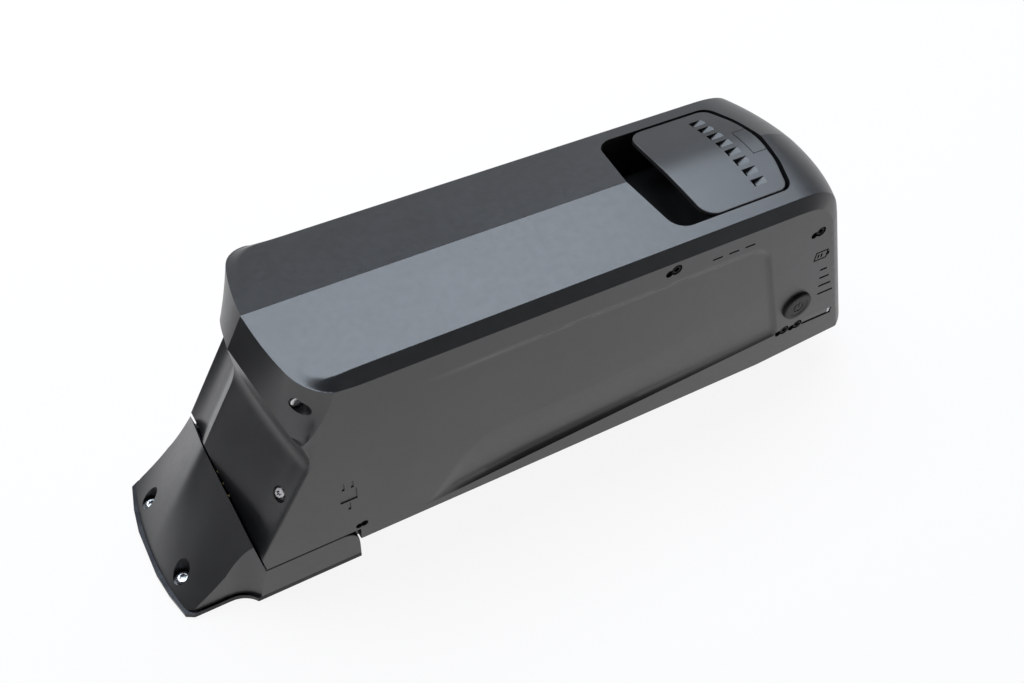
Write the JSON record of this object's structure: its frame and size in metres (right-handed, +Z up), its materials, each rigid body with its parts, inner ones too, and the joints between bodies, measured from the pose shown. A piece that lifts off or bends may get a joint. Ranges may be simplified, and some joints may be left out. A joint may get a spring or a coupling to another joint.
{
  "type": "battery pack",
  "caption": "Bicycle down-tube battery pack docked on its mounting base, with a carrying flap, charge gauge, key lock and capped charging socket.",
  "frame": {"origin": "centre of the object's bounding box on the plane that the base is mounted on", "axes": "+X from the base's nose to the pack's rear end, +Y to the side with the key, +Z up from the mounting plane to the ridge"},
  "size_m": [0.362, 0.092, 0.1235],
  "materials": {
    "shell": "satin black moulded plastic",
    "inner_plastic": "plain black moulded plastic",
    "rail": "black anodised extrusion",
    "seal": "soft seal",
    "rubber": "matte rubber",
    "steel": "zinc plated steel",
    "black_steel": "black oxide steel",
    "lock_metal": "die cast and plated",
    "brass": "bare brass",
    "aluminium": "bare plate",
    "nickel": "nickel strip",
    "cell_wrap": "shrink wrap",
    "insulation": "pressed paper",
    "membrane": "vent membrane",
    "board": "solder mask",
    "light_bar": "smoked light guide",
    "lead_red": "silicone lead",
    "lead_black": "silicone lead"
  },
  "bodies": {
    "base": {"base_nose": "shell", "base_rail": "rail", "nose_screws": "steel", "nose_inserts": "brass", "base_socket": "inner_plastic", "base_blades": "brass", "cable_gland": "rubber", "lock_keeper": "steel"},
    "pack": {"near_shell": "shell", "far_shell": "shell", "parting_seal": "seal", "catch_strip": "steel", "vent_membrane": "membrane", "shell_screws": "steel", "handle_tub": "inner_plastic", "tub_screws": "black_steel", "handle_pin": "steel", "gauge_carrier": "inner_plastic", "carrier_screws": "black_steel", "gauge_board": "board", "gauge_bars": "light_bar", "charge_socket": "inner_plastic", "cap_anchor": "rubber", "lock_housing": "inner_plastic", "cells": "cell_wrap", "near_cell_holder": "inner_plastic", "far_cell_holder": "inner_plastic", "near_strips": "nickel", "far_strips": "nickel", "near_insulation": "insulation", "far_insulation": "insulation", "protection_board": "board", "heat_plate": "aluminium", "positive_lead": "lead_red", "negative_lead": "lead_black", "pack_connector": "inner_plastic"},
    "flap": {"handle_flap": "shell"},
    "button": {"power_button": "shell"},
    "key": {"key_cylinder": "lock_metal"},
    "bolt": {"lock_bolt": "steel"},
    "cap": {"charge_cap": "rubber"}
  },
  "joints": [
    {"name": "pack_slide", "type": "slide", "parent": "base", "child": "pack", "axis": [1, 0, 0], "range_m": [0, 0.06]},
    {"name": "flap_hinge", "type": "hinge", "parent": "pack", "child": "flap", "pos_m": [0.113, 0, 0.1162], "axis": [0, 1, 0], "range_deg": [0, 75]},
    {"name": "button_press", "type": "slide", "parent": "pack", "child": "button", "axis": [0, 1, 0], "range_m": [0, 0.0012], "stiffness_N_per_m": 800},
    {"name": "key_turn", "type": "hinge", "parent": "pack", "child": "key", "pos_m": [0.148, 0.03, 0.028], "axis": [0, 1, 0], "range_deg": [0, 90]},
    {"name": "bolt_slide", "type": "slide", "parent": "pack", "child": "bolt", "axis": [0, 0, 1], "range_m": [-0.0072, 0]},
    {"name": "cap_hinge", "type": "hinge", "parent": "pack", "child": "cap", "pos_m": [-0.0812, 0.0451, 0.103], "axis": [0, 0, 1], "range_deg": [0, 110]}
  ],
  "couplings": [
    {"joint": "bolt_slide", "follows": "key_turn", "m_per_rad": -0.0045016}
  ]
}
